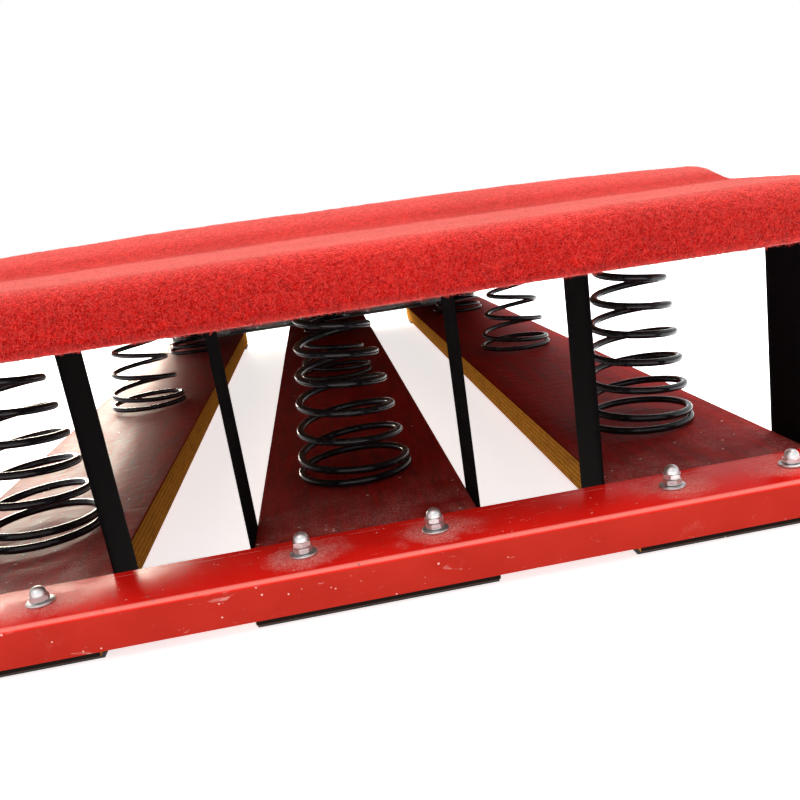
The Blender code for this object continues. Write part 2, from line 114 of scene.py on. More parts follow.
def smooth(value, start, end):
    """0 before start, 1 after end, with an easy curve between them.  Takes numbers or arrays."""
    t = np.clip((value - start) / (end - start), 0.0, 1.0)
    return t * t * (3 - 2 * t)


def underside(y):
    """Height of the deck's underside: level, then a parabolic bend, then straight down to the hinge."""
    run = np.maximum(y - BEND_START, 0.0)
    bend = DECK_EDGE_Z - SLOPE * run * run / (2 * BEND_LENGTH)
    straight = DECK_EDGE_Z - SLOPE * (run - BEND_LENGTH / 2)
    return np.where(run < BEND_LENGTH, bend, straight)


def deck_slope(y):
    return SLOPE * min(max((y - BEND_START) / BEND_LENGTH, 0.0), 1.0)


def deck_top(x, y):
    """Height of the carpet's upper face, before its edges are rounded."""
    front_run = np.minimum((y - FRONT_Y) / (STEP_START - FRONT_Y), 1.0)
    front = FRONT_THICKNESS + (STEP_THICKNESS - FRONT_THICKNESS) * front_run
    full = FULL_THICKNESS + CROWN * (1 - (2 * x / WIDTH) ** 2)
    thickness = front + (full - front) * smooth(y, STEP_START, STEP_END)
    thickness += (REAR_THICKNESS - thickness) * smooth(y, TAPER_START, DECK_REAR_Y)
    return underside(y) + thickness


def node_centre(node):
    low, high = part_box(node)
    return (low + high) / 2


# ---------------------------------------------------------------- shader signals
class Signal:
    """A shader node's output.  Its methods and operators make the nodes that follow it."""

    def __init__(self, socket):
        self.socket = socket

    def feed(self, kind, output, inputs, **settings):
        """An output of a new node, whose inputs are values or signals."""
        tree = self.socket.id_data
        node = tree.nodes.new(kind)
        for key, value in settings.items():
            setattr(node, key, value)
        for key, value in inputs.items():
            if isinstance(value, Signal):
                tree.links.new(value.socket, node.inputs[key])
            else:
                node.inputs[key].default_value = value
        return Signal(node.outputs[output])

    def maths(self, operation, b=0.0, c=0.0):
        return self.feed("ShaderNodeMath", 0, {0: self, 1: b, 2: c}, operation=operation)

    def __add__(self, other):
        return self.maths("ADD", other)

    def __sub__(self, other):
        return self.maths("SUBTRACT", other)

    def __mul__(self, other):
        return self.maths("MULTIPLY", other)

    def __truediv__(self, other):
        return self.maths("DIVIDE", other)

    def __abs__(self):
        return self.maths("ABSOLUTE")

    def times(self, factor, plus):
        return self.maths("MULTIPLY_ADD", factor, plus)

    def most(self, other):
        return self.maths("MAXIMUM", other)

    def axis(self, number):
        return self.feed("ShaderNodeSeparateXYZ", number, {"Vector": self})

    def stretched(self, x, y, z):
        return self.feed("ShaderNodeVectorMath", 0, {0: self, 1: (x, y, z)}, operation="MULTIPLY")

    def noise(self, scale, detail=2.0, rough=0.5, distortion=0.0):
        return self.feed("ShaderNodeTexNoise", "Fac", {
            "Vector": self, "Scale": scale, "Detail": detail, "Roughness": rough, "Distortion": distortion})

    def cells(self, scale, output):
        return self.feed("ShaderNodeTexVoronoi", output, {"Vector": self, "Scale": scale})

    def specks(self, scale, amount):
        """Small scattered flecks: 1 inside one, 0 outside.  Amount is the share of cells with one."""
        colour = self.cells(scale, "Color")
        distance = Signal(colour.socket.node.outputs["Distance"])
        chosen = colour.axis(0).maths("LESS_THAN", amount)
        return chosen * distance.maths("LESS_THAN", colour.axis(1) * FLECK_SIZE)

    def eased(self, low, high, to_low=0.0, to_high=1.0):
        """Signal eased from low..high to to_low..to_high, clamped."""
        return self.feed("ShaderNodeMapRange", "Result", {
            "Value": self, "From Min": low, "From Max": high, "To Min": to_low, "To Max": to_high},
            interpolation_type="SMOOTHSTEP")

    def ramp(self, *stops):
        """Colour at the signal, from (position, colour) stops."""
        made = self.feed("ShaderNodeValToRGB", "Color", {"Fac": self})
        elements = made.socket.node.color_ramp.elements
        while len(elements) < len(stops):
            elements.new(0.5)
        for element, (position, colour) in zip(elements, stops):
            element.position = position
            element.color = (*colour, 1)
        return made

    def mixed(self, share, other):
        """Colour turned to another by share."""
        if not isinstance(other, Signal):
            other = (*other, 1)
        return self.feed("ShaderNodeMix", 2, {0: share, 6: self, 7: other}, data_type="RGBA")


def new_material(name, colour, roughness, **shader_values):
    """A Principled material and its shader.  Extra values are socket names with _ for spaces."""
    made = bpy.data.materials.new(name)
    made.use_nodes = True
    shader = made.node_tree.nodes["Principled BSDF"]
    shader.inputs["Base Color"].default_value = (*colour, 1)
    shader.inputs["Roughness"].default_value = roughness
    for key, value in shader_values.items():
        shader.inputs[key.replace("_", " ")].default_value = value
    return made, shader


def place(shader):
    """Position on the object at rest, in metres."""
    return Signal(shader.id_data.nodes.new("ShaderNodeTexCoord").outputs["Object"])


def link(shader, key, signal):
    shader.id_data.links.new(signal.socket, shader.inputs[key])


def dress(shader, colour, height, strength, depth, roughness=None):
    """Gives a shader its colour, its bump from height, and its roughness where that varies."""
    link(shader, "Base Color", colour)
    if roughness is not None:
        link(shader, "Roughness", roughness)
    link(shader, "Normal", height.feed(
        "ShaderNodeBump", "Normal", {"Height": height, "Strength": strength, "Distance": depth}))


# ---------------------------------------------------------------- materials
def strands(at, turn, scale):
    """Fine threads that run one way, which is turned by three angles in degrees."""
    turned_at = at.feed("ShaderNodeVectorRotate", 0, {
        "Vector": at, "Rotation": [math.radians(a) for a in turn]}, rotation_type="EULER_XYZ")
    return turned_at.stretched(0.22, 1.0, 1.0).noise(scale, 2, 0.6, 0.5)


def carpet_material():
    """Bright red needle felt: matted fibres that run every way, with a soft pale bloom. Its valley at the
    foot of the step and its downward-turned faces are painted darker, as painted shade.
    """
    made, shader = new_material(
        "carpet_felt", (0.6, 0.012, 0.008), 0.95, Sheen_Weight=1.0, Sheen_Roughness=0.4,
        Sheen_Tint=(1.0, 0.46, 0.40, 1), Specular_IOR_Level=0.0)
    at = place(shader)
    tone = strands(at, (20, 40, 30), 1100).most(strands(at, (-25, -50, -40), 1100))
    tone = tone.most(strands(at, (70, 5, 85), 1000))
    tone = (at.noise(300, 3, 0.65, 0.3) - 0.5).times(0.35, tone)
    tone = (at.noise(16, 3, 0.5) - 0.5).times(0.12, tone)
    # Painted shade: a band across the valley at the foot of the step is painted darker and gets less sheen.
    painted_crease_shade = abs(at.axis(1) - (STEP_START + 12 * MM)).eased(30 * MM, 8 * MM)
    facing = Signal(shader.id_data.nodes.new("ShaderNodeNewGeometry").outputs["Normal"])
    # Painted shade: faces turned sideways and down are painted darker, most where they face down.
    hem = facing.axis(2).eased(0.35, -0.3)
    tone = hem.times(-0.05, painted_crease_shade.times(-0.05, tone))
    bloom = tone.eased(0.45, 0.78, 0.7, 1.0) * painted_crease_shade.times(-0.45, 1.0)
    link(shader, "Sheen Weight", bloom)
    colour = tone.ramp((0.42, (0.17, 0.0014, 0.0010)), (0.53, (0.31, 0.0040, 0.0027)),
                       (0.62, (0.46, 0.010, 0.007)), (0.74, (0.60, 0.032, 0.024)))
    dress(shader, colour, tone, 0.8, 1.0 * MM)
    return made


def fibre_material(name, colour):
    made, _ = new_material(name, colour, 0.8, Sheen_Weight=0.4, Sheen_Tint=(1.0, 0.5, 0.45, 1),
                           Specular_IOR_Level=0.2)
    return made


def nut_dust(at):
    """Chalk dust that gathers round the front nuts, in loose drifts."""
    across = abs(at.axis(0).maths("WRAP", BOARD_PITCH / 2, -BOARD_PITCH / 2))
    dx = (across - FASTENER_SPACING / 2) / DUST_SPREAD_X
    dy = (at.axis(1) - NUT_LINE_Y) / DUST_SPREAD_Y
    distance = (dx * dx + dy * dy).maths("SQRT")
    near = at.noise(45, 4, 0.6, 0.8).times(1.6, distance).eased(1.9, 0.95)
    grain = at.stretched(1, 1.6, 1).noise(1100, 2, 0.7)
    return near * grain.eased(0.42, 0.62, 0.12, 1.0)


def enamel_material():
    """Red enamel on steel: faint orange peel, chalk dust round the nuts, a scored line and chips. Its top is
    painted lighter and its front face darker, as painted light and shade, and the bend carries a painted
    highlight.
    """
    made, shader = new_material("red_enamel", (0.66, 0.01, 0.006), 0.4, Specular_IOR_Level=0.015)
    at = place(shader)
    y, z = at.axis(1), at.axis(2)
    cloud = at.noise(22, 3, 0.5)
    # Painted light and shade: the top gets a brighter red ramp and the front face a darker one, as lit and
    # shaded copies of one enamel.
    top = cloud.ramp((0.3, (0.68, 0.010, 0.006)), (0.7, (0.80, 0.016, 0.010)))
    face = cloud.ramp((0.3, (0.33, 0.016, 0.009)), (0.7, (0.39, 0.022, 0.013)))
    colour = top.mixed(z.eased(ANGLE_TOP - 1.5 * MM, ANGLE_TOP - 3.5 * MM), face)
    flecks = at.specks(420, 0.05) * 0.75
    scuffs = at.stretched(0.35, 2.2, 1).noise(160, 5, 0.7, 1.2).eased(0.63, 0.72, 0.0, 0.3)
    pale = (nut_dust(at) * 0.7).most(flecks.most(scuffs))
    wobble = (at.noise(18, 2) - 0.5) * (2.2 * MM)
    scored = abs(y + wobble - SCORE_Y).eased(0.4 * MM, 0.1 * MM)
    pale = pale.most(scored * at.noise(60, 2).eased(0.44, 0.56) * 0.4)
    colour = colour.mixed(pale, (0.80, 0.50, 0.44))
    # Painted highlight: a pale pink line painted along the bend between the top and the front face.
    painted_bend_highlight = (y.eased(FRONT_Y + 3.2 * MM, FRONT_Y + 2.0 * MM)
              * z.eased(ANGLE_TOP - 2.4 * MM, ANGLE_TOP - 1.2 * MM))
    colour = colour.mixed(painted_bend_highlight * 0.5, (0.90, 0.34, 0.28))
    on_bend = abs(z - (ANGLE_TOP - 1.2 * MM)).eased(2.2 * MM, 0.6 * MM)
    chips = at.noise(190, 3, 0.7).eased(0.66, 0.70) * on_bend
    colour = colour.mixed(chips * 0.8, (0.16, 0.13, 0.12))
    height = pale.times(0.5, at.noise(300, 1, 0.4) * 0.25) - chips
    dress(shader, colour, height, 0.2, 0.4 * MM, pale.eased(0.0, 0.6, 0.24, 0.85))
    return made


def veneer_material():
    """Dark red stained veneer with open grain and chalk dust.  The left board's varnish is glossiest."""
    made, shader = new_material("stained_ply", (0.13, 0.01, 0.008), 0.45)
    at = place(shader)
    figure = at.stretched(1.0, 0.12, 1.0).noise(55, 4, 0.55, 1.8)
    streaks = at.stretched(1.0, 0.05, 1.0).noise(420, 4, 0.65, 0.8)
    pores = at.stretched(1.0, 0.09, 1.0).noise(1300, 2, 0.6).eased(0.60, 0.70)
    tone = figure.times(0.5, streaks * 0.5)
    colour = tone.ramp((0.34, (0.12, 0.004, 0.0025)), (0.5, (0.22, 0.007, 0.005)),
                       (0.66, (0.33, 0.014, 0.009)))
    colour = colour.mixed(pores * 0.6, (0.03, 0.001, 0.001))
    near_angle = at.axis(1).eased(ANGLE_BACK_Y + 130 * MM, ANGLE_BACK_Y)
    drift = at.noise(30, 4, 0.6, 0.4).eased(0.30, 0.70)
    powder = at.noise(1500, 2, 0.8).eased(0.46, 0.66)
    dust = powder * drift * near_angle.times(0.42, 0.03)
    pale = dust.most(at.specks(230, near_angle.times(0.10, 0.015)) * 0.7)
    colour = colour.mixed(pale, (0.72, 0.50, 0.44))
    link(shader, "Specular IOR Level", at.axis(0).eased(-0.10, -0.14, 0.035, 0.22))
    ripples = at.stretched(0.6, 1.0, 1.0).noise(90, 4, 0.62, 0.6)
    height = ripples.times(4.0, tone.times(0.5, pores * -0.25))
    dress(shader, colour, height, 0.6, 0.5 * MM, tone.eased(0.3, 0.7, 0.50, 0.62) + pale * 0.3)
    return made


def edge_ply_material():
    """The boards' sawn edges: golden varnish over laminations, every second ply showing end grain."""
    made, shader = new_material("edge_ply", (0.5, 0.28, 0.09), 0.6, Specular_IOR_Level=0.0)
    at = place(shader)
    waver = (at.noise(9, 2) - 0.5) * (0.9 * MM)
    ply = ((at.axis(2) - BOARD_BOTTOM + waver) / (2 * PLY)).maths("FRACT")
    band = abs(ply - 0.5).eased(0.34, 0.44)
    along = at.stretched(0.06, 0.06, 1.0).noise(1500, 3, 0.6)
    grain = along.mixed(band, at.stretched(1.0, 1.0, 0.25).noise(1800, 2, 0.6))
    light = grain.ramp((0.35, (0.35, 0.135, 0.017)), (0.65, (0.56, 0.25, 0.035)))
    dark = grain.ramp((0.35, (0.13, 0.042, 0.006)), (0.65, (0.36, 0.15, 0.024)))
    stain = at.axis(2).eased(BOARD_TOP - 1.6 * MM, BOARD_TOP - 0.5 * MM)
    soiled = at.stretched(1, 1, 3).noise(30, 4, 0.6).eased(0.5, 0.75, 0.0, 0.45)
    # The left board's sawn edges are turned half way to a darker brown, and the boards' front end faces,
    # below the angle's leg, are near black.
    inner_left = at.axis(0).eased(-0.12, -0.15, 0.0, 0.5)
    end_face = at.axis(1).eased(BOARD_FRONT_Y + 0.6 * MM, BOARD_FRONT_Y + 0.2 * MM)
    colour = light.mixed(band, dark)
    for share, tint in ((stain, (0.12, 0.008, 0.006)), (soiled, (0.14, 0.06, 0.02)),
                        (inner_left, (0.08, 0.028, 0.005)), (end_face, (0.012, 0.009, 0.008))):
        colour = colour.mixed(share, tint)
    dress(shader, colour, grain, 0.35, 0.3 * MM)
    return made


def birch_material():
    """Brown stained birch ply under the deck."""
    made, shader = new_material("birch_ply", (0.2, 0.08, 0.03), 0.65, Specular_IOR_Level=0.25)
    at = place(shader)
    figure = at.stretched(1.0, 0.14, 1.0).noise(30, 4, 0.6, 2.2)
    streaks = at.stretched(1.0, 0.04, 1.0).noise(600, 3, 0.6)
    tone = figure.times(0.6, streaks * 0.4)
    colour = tone.ramp((0.35, (0.10, 0.035, 0.013)), (0.65, (0.21, 0.085, 0.034)))
    ply = (at.axis(2) / (3 * MM)).maths("FRACT")
    colour = colour.mixed(ply.maths("LESS_THAN", 0.4) * 0.15, (0.05, 0.02, 0.008))
    dress(shader, colour, streaks, 0.3, 0.3 * MM)
    return made


def rubber_material():
    made, shader = new_material("black_rubber", (0.03, 0.03, 0.03), 0.7, Specular_IOR_Level=0.4)
    at = place(shader)
    cloud = at.noise(60, 4, 0.6)
    colour = cloud.ramp((0.3, (0.016, 0.015, 0.016)), (0.7, (0.045, 0.042, 0.042)))
    colour = colour.mixed(at.specks(300, 0.05) * 0.6, (0.45, 0.36, 0.2))
    dress(shader, colour, at.noise(1500, 2, 0.6), 0.3, 0.2 * MM, cloud.eased(0.3, 0.7, 0.6, 0.85))
    return made


def wire_material():
    """Gloss black coated spring wire with a little settled dust."""
    made, shader = new_material("black_wire", (0.004, 0.004, 0.005), 0.2, Specular_IOR_Level=0.3)
    at = place(shader)
    cloud = at.noise(90, 3, 0.6)
    colour = cloud.ramp((0.35, (0.004, 0.004, 0.005)), (0.7, (0.012, 0.011, 0.013)))
    colour = colour.mixed(at.specks(500, 0.04) * 0.35, (0.4, 0.33, 0.3))
    dress(shader, colour, at.noise(700, 2), 0.12, 0.2 * MM, cloud.eased(0.3, 0.7, 0.14, 0.26))
    return made


def zinc_material():
    """Bright zinc plate, a little handled."""
    made, shader = new_material("zinc", (0.72, 0.73, 0.74), 0.32, Metallic=1.0)
    at = place(shader)
    cloud = at.noise(160, 4, 0.65, 0.5)
    colour = cloud.ramp((0.3, (0.52, 0.52, 0.51)), (0.5, (0.68, 0.69, 0.69)), (0.72, (0.80, 0.80, 0.79)))
    scratches = at.stretched(0.3, 1, 1).noise(1600, 2, 0.7)
    dress(shader, colour, scratches, 0.18, 0.15 * MM, cloud.eased(0.3, 0.72, 0.5, 0.34))
    return made


def galvanised_material():
    """Dull hot-dip galvanising with its faint crystals."""
    made, shader = new_material("galvanised", (0.62, 0.63, 0.63), 0.55, Metallic=0.35)
    at = place(shader)
    tone = at.cells(160.0, "Color").axis(0).times(0.5, at.noise(60, 3) * 0.5)
    colour = tone.ramp((0.2, (0.26, 0.27, 0.27)), (0.8, (0.42, 0.43, 0.43)))
    dress(shader, colour, at.noise(500, 2), 0.15, 0.2 * MM)
    return made


def webbing_material():
    """Black herringbone webbing: ribs along the strap, crossed by the weft."""
    made, shader = new_material("webbing", (0.003, 0.002, 0.003), 0.85, Specular_IOR_Level=0.04)
    at = place(shader)
    x, y, z = (at.axis(number) for number in range(3))
    zigzag = y.maths("PINGPONG", HERRINGBONE)
    twill = ((x + z + zigzag) * (2 * math.pi / WEFT)).maths("SINE")
    ribs = (y * (2 * math.pi / WARP)).maths("SINE")
    weave = twill.times(0.5, ribs * 0.5)
    fuzz = at.noise(1200, 2)
    colour = weave.times(0.25, fuzz).ramp((0.2, (0.0008, 0.0006, 0.0008)), (0.85, (0.005, 0.004, 0.005)))
    dress(shader, colour, fuzz.times(0.3, weave), 0.6, 0.3 * MM)
    return made


def foam_material():
    made, shader = new_material("closed_cell_foam", (0.78, 0.74, 0.6), 0.9)
    cells = place(shader).cells(700, "Distance")
    dress(shader, cells.ramp((0.1, (0.45, 0.42, 0.32)), (0.6, (0.80, 0.76, 0.62))), cells, 0.6, 0.5 * MM)
    return made


BOARD_PITCH = node_centre("base_board_right").x - node_centre("base_board_middle").x
FASTENER_SPACING = node_centre("washer_4").x - node_centre("washer_3").x
NUT_LINE_Y = node_centre("washer_1").y
ANGLE_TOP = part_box("front_angle")[1].z
ANGLE_BACK_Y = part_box("front_angle")[1].y
BOARD_FRONT_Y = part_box("base_board_left")[0].y
SCORE_Y = ANGLE_BACK_Y - 7 * MM
DUST_SPREAD_X = 30 * MM
DUST_SPREAD_Y = 22 * MM
FLECK_SIZE = 0.28           # widest fleck, as a share of its cell
PLY = 2.1 * MM
WEFT = 1.6 * MM
WARP = 1.25 * MM
HERRINGBONE = 6.25 * MM

FELT = carpet_material()
FIBRES = {
    "pale": fibre_material("felt_fibre_pale", (0.56, 0.030, 0.022)),
    "red": fibre_material("felt_fibre_red", (0.44, 0.009, 0.006)),
    "deep": fibre_material("felt_fibre_deep", (0.22, 0.0025, 0.0018)),
}
ENAMEL = enamel_material()
VENEER = veneer_material()
EDGE_PLY = edge_ply_material()
BIRCH = birch_material()
RUBBER = rubber_material()
WIRE = wire_material()
ZINC = zinc_material()
GALVANISED = galvanised_material()
WEBBING = webbing_material()
FOAM = foam_material()


# ---------------------------------------------------------------- mesh helpers
def add_piece(name, mesh, materials, body, replaced=(), smooth_angle=40):
    for finish in materials:
        mesh.materials.append(finish)
    if smooth_angle:
        mesh.shade_smooth()
        mesh.set_sharp_from_angle(angle=math.radians(smooth_angle))
    piece = bpy.data.objects.new(name, mesh)
    bpy.context.scene.collection.objects.link(piece)
    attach(piece, body)
    if replaced:
        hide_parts(*replaced)
    return piece


def mesh_of(name, verts, faces):
    mesh = bpy.data.meshes.new(name)
    mesh.from_pydata([tuple(v) for v in verts], [], [tuple(f) for f in faces])
    mesh.update()
    return mesh


def mesh_from(bm, name):
    bmesh.ops.recalc_face_normals(bm, faces=bm.faces[:])
    mesh = bpy.data.meshes.new(name)
    bm.to_mesh(mesh)
    bm.free()
    return mesh


def outward(name, verts, faces):
    """Mesh with all its faces turned outwards."""
    bm = bmesh.new()
    rough = mesh_of("rough", verts, faces)
    bm.from_mesh(rough)
    bpy.data.meshes.remove(rough)
    return mesh_from(bm, name)


def drill(holes, centre, radius, bottom, top, sides):
    """Adds a vertical cylinder to the holes' mesh."""
    middle = Matrix.Translation((centre.x, centre.y, (top + bottom) / 2))
    bmesh.ops.create_cone(holes, cap_ends=True, segments=sides, radius1=radius, radius2=radius,
                          depth=top - bottom, matrix=middle)


def ring_stack(rings, closed_path=False):
    """Faces of a tube through rings of equal length, as (verts, faces).  Caps are flat polygons."""
    count = len(rings[0])
    verts = [tuple(p) for ring in rings for p in ring]
    faces = []
    spans = len(rings) if closed_path else len(rings) - 1
    for i in range(spans):
        a, b = i * count, ((i + 1) % len(rings)) * count
        for j in range(count):
            k = (j + 1) % count
            faces.append((a + j, a + k, b + k, b + j))
    if not closed_path:
        faces.append(tuple(reversed(range(count))))
        faces.append(tuple(range((len(rings) - 1) * count, len(rings) * count)))
    return verts, faces


def apply_modifiers(name, source):
    """The source object's evaluated mesh, with the source removed."""
    bpy.context.view_layer.update()
    evaluated = source.evaluated_get(bpy.context.evaluated_depsgraph_get())
    mesh = bpy.data.meshes.new_from_object(evaluated)
    mesh.name = name
    mesh.transform(source.matrix_world)
    bpy.data.objects.remove(source)
    return mesh


def loose_object(mesh):
    made = bpy.data.objects.new(f"{mesh.name}_work", mesh)
    bpy.context.scene.collection.objects.link(made)
    return made


def cut(mesh, cutter_mesh):
    """Mesh with the cutter taken out of it.  New faces keep the mesh's own material numbers."""
    body, cutter = loose_object(mesh), loose_object(cutter_mesh)
    change = body.modifiers.new("cut", "BOOLEAN")
    change.operation = "DIFFERENCE"
    change.object = cutter
    change.solver = "EXACT"
    made = apply_modifiers(mesh.name, body)
    bpy.data.objects.remove(cutter)
    return made


def turned(profile, centre, base_z, sides=48):
    """Rings for a turned piece from a (radius, height) profile."""
    angles = [2 * math.pi * i / sides for i in range(sides)]
    return [[(centre[0] + r * math.cos(a), centre[1] + r * math.sin(a), base_z + height) for a in angles]
            for r, height in profile]


def bevelled_box(name, low, high, radius, segments=2):
    low, high = Vector(low), Vector(high)
    bm = bmesh.new()
    bmesh.ops.create_cube(bm, size=1.0)
    bmesh.ops.scale(bm, vec=high - low, verts=bm.verts[:])
    bmesh.ops.translate(bm, vec=(low + high) / 2, verts=bm.verts[:])
    bmesh.ops.bevel(bm, geom=bm.edges[:], offset=radius, segments=segments, profile=0.5, affect="EDGES")
    return mesh_from(bm, name)


# ---------------------------------------------------------------- camera, light and floor
def make_camera():
    data = bpy.data.cameras.new("camera")
    data.lens = 36.9
    data.sensor_width = 36
    data.shift_x = -0.05
    data.shift_y = 0.0625
    data.clip_start = 0.05
    camera = bpy.data.objects.new("camera", data)
    camera.location = (-0.0041, -1.0268, 0.2198)
    camera.rotation_euler = Euler([math.radians(a) for a in (72.98, 7.56, -8.95)])
    bpy.context.scene.collection.objects.link(camera)
    bpy.context.scene.camera = camera


def area_light(name, place_at, aim, size, power, colour=(1, 1, 1)):
    data = bpy.data.lights.new(name, "AREA")
    data.shape = "RECTANGLE"
    data.size, data.size_y = size
    data.energy = power
    data.color = colour
    light = bpy.data.objects.new(name, data)
    light.location = place_at
    light.visible_camera = False
    light.rotation_euler = (Vector(aim) - Vector(place_at)).to_track_quat("-Z", "Y").to_euler()
    bpy.context.scene.collection.objects.link(light)


def make_world():
    """Even white surround."""
    world = bpy.data.worlds.new("studio")
    bpy.context.scene.world = world
    world.use_nodes = True
    sky = world.node_tree.nodes["Background"]
    sky.inputs["Color"].default_value = (1, 1, 1, 1)
    sky.inputs["Strength"].default_value = 1.0


def make_studio():
    make_world()
    area_light("key", (-0.9, -2.3, 2.5), (0, -0.4, 0.15), (1.4, 1.4), 14)
    area_light("overhead", (0.2, 0.3, 2.6), (0, 0, 0.1), (2.2, 2.2), 142)
    area_light("low_side", (-0.86, 2.1, 0.40), (-0.25, -0.3, 0.03), (1.5, 0.8), 75, (1.0, 0.90, 0.74))
    bpy.context.scene.view_settings.view_transform = "Standard"
    size = 20
    corners = [(-size, -size, 0), (size, -size, 0), (size, size, 0), (-size, size, 0)]
    floor = mesh_of("floor", corners, [(0, 1, 2, 3)])
    made, shader = new_material("pale_floor", (0.9, 0.9, 0.9), 0.6, Specular_IOR_Level=0.1,
                                Emission_Color=(1, 1, 1, 1), Emission_Strength=0.72)
    cloud = place(shader).noise(3, 3)
    link(shader, "Base Color", cloud.ramp((0.3, (0.89, 0.89, 0.89)), (0.7, (0.92, 0.92, 0.92))))
    floor.materials.append(made)
    stage = bpy.data.objects.new("floor", floor)
    bpy.context.scene.collection.objects.link(stage)


# ---------------------------------------------------------------- base
def make_boards():
    """Base boards with eased edges: stained faces, laminated sides and recesses for the bolt heads."""
    for side in SIDES:
        low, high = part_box(f"base_board_{side}")
        board = bevelled_box(f"board_{side}", low, high, 1.1 * MM, 3)
        first = 1 + 2 * SIDES.index(side)
        holes = bmesh.new()
        for number in (first, first + 1):
            centre = node_centre(f"washer_{number}")
            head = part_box(f"front_bolt_{number}")
            radius = (head[1].x - head[0].x) / 2 + GAP
            drill(holes, centre, radius, 0.0, BOARD_BOTTOM + BOLT_HEAD + GAP, 40)
            drill(holes, centre, BOLT_HOLE, 0.0, 2 * BOARD_TOP, 40)
        board = cut(board, mesh_from(holes, "holes"))
        for face in board.polygons:
            face.material_index = 0 if abs(face.normal.z) > 0.75 else 1
        add_piece(f"board_{side}", board, [VENEER, EDGE_PLY], "base",
                  [f"base_board_{side}"], 30)


def make_pads():
    for side in SIDES:
        for end in ("front", "rear"):
            low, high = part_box(f"{end}_pad_{side}")
            name = f"rubber_pad_{end}_{side}"
            pad = bevelled_box(name, low, high, 0.7 * MM)
            add_piece(name, pad, [RUBBER], "base", [f"{end}_pad_{side}"])


def arc(centre, radius, start, end, steps):
    angles = [math.radians(start + (end - start) * i / steps) for i in range(steps + 1)]
    return [(centre[0] + radius * math.cos(a), centre[1] + radius * math.sin(a)) for a in angles]


def run_along_x(outline, stations):
    """A closed (y, z) outline swept through (x, shrink) stations, shrink being how far it draws in."""
    points = np.array(outline)
    after, before = np.roll(points, -1, 0), np.roll(points, 1, 0)
    along = after - before
    normals = np.stack([along[:, 1], -along[:, 0]], 1) / np.linalg.norm(along, axis=1)[:, None]
    area = np.sum(points[:, 0] * np.roll(points[:, 1], -1) - np.roll(points[:, 0], -1) * points[:, 1])
    normals *= 1 if area > 0 else -1
    rings = [[(x, *(p - n * shrink)) for p, n in zip(points, normals)] for x, shrink in stations]
    return ring_stack(rings)


def make_angle():
    """Steel angle with a rolled bend, eased edges and a hole for each bolt."""
    bend, root, nose, small = 3.5 * MM, 1.2 * MM, 0.7 * MM, 0.2 * MM
    low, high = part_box("front_angle")
    t = ANGLE_THICKNESS
    outline = [(low.y + t - nose, low.z), (low.y + nose, low.z), (low.y + small, low.z + small),
               (low.y, low.z + nose)]
    outline += arc((low.y + bend, high.z - bend), bend, 180, 90, 10)
    outline += [(high.y - nose, high.z), (high.y - small, high.z - small), (high.y, high.z - nose),
                (high.y, high.z - t + nose), (high.y - nose, high.z - t)]
    outline += arc((low.y + t + root, high.z - t - root), root, 90, 180, 5)
    outline += [(low.y + t, low.z + nose)]
    rim, ease = 0.5 * MM, 0.15 * MM
    stations = [(low.x, rim), (low.x + ease, ease), (low.x + rim, 0)]
    stations += [(x, 0) for x in np.linspace(low.x, high.x, 41)[1:-1]]
    stations += [(high.x - rim, 0), (high.x - ease, ease), (high.x, rim)]
    angle = outward("angle_iron", *run_along_x(outline, stations))
    holes = bmesh.new()
    for number in range(1, 7):
        drill(holes, node_centre(f"washer_{number}"), BOLT_HOLE, high.z - 6 * MM, high.z + 6 * MM, 32)
    angle = cut(angle, mesh_from(holes, "holes"))
    add_piece("angle_iron", angle, [ENAMEL], "base", ["front_angle"], 35)


def hex_rings(centre, base_z, height, turn):
    """Rings of a chamfered hexagon, from its lower face to its upper one."""
    round_r = NUT_FLATS / 2 * 0.95
    slope = math.tan(math.radians(30))
    sides = 72

    def ring(level, rounded, sign=1):
        points = []
        for i in range(sides):
            angle = 2 * math.pi * i / sides
            across = (angle - turn + math.pi / 6) % (math.pi / 3) - math.pi / 6
            corner = NUT_FLATS / 2 / math.cos(across)
            r = min(round_r, corner) if rounded else corner
            drop = 0 if rounded else max(r - round_r, 0) * slope
            points.append((centre[0] + r * math.cos(angle), centre[1] + r * math.sin(angle),
                           base_z + level - sign * drop))
        return points
    return [ring(0, True), ring(0, False, -1), ring(height, False), ring(height, True)]


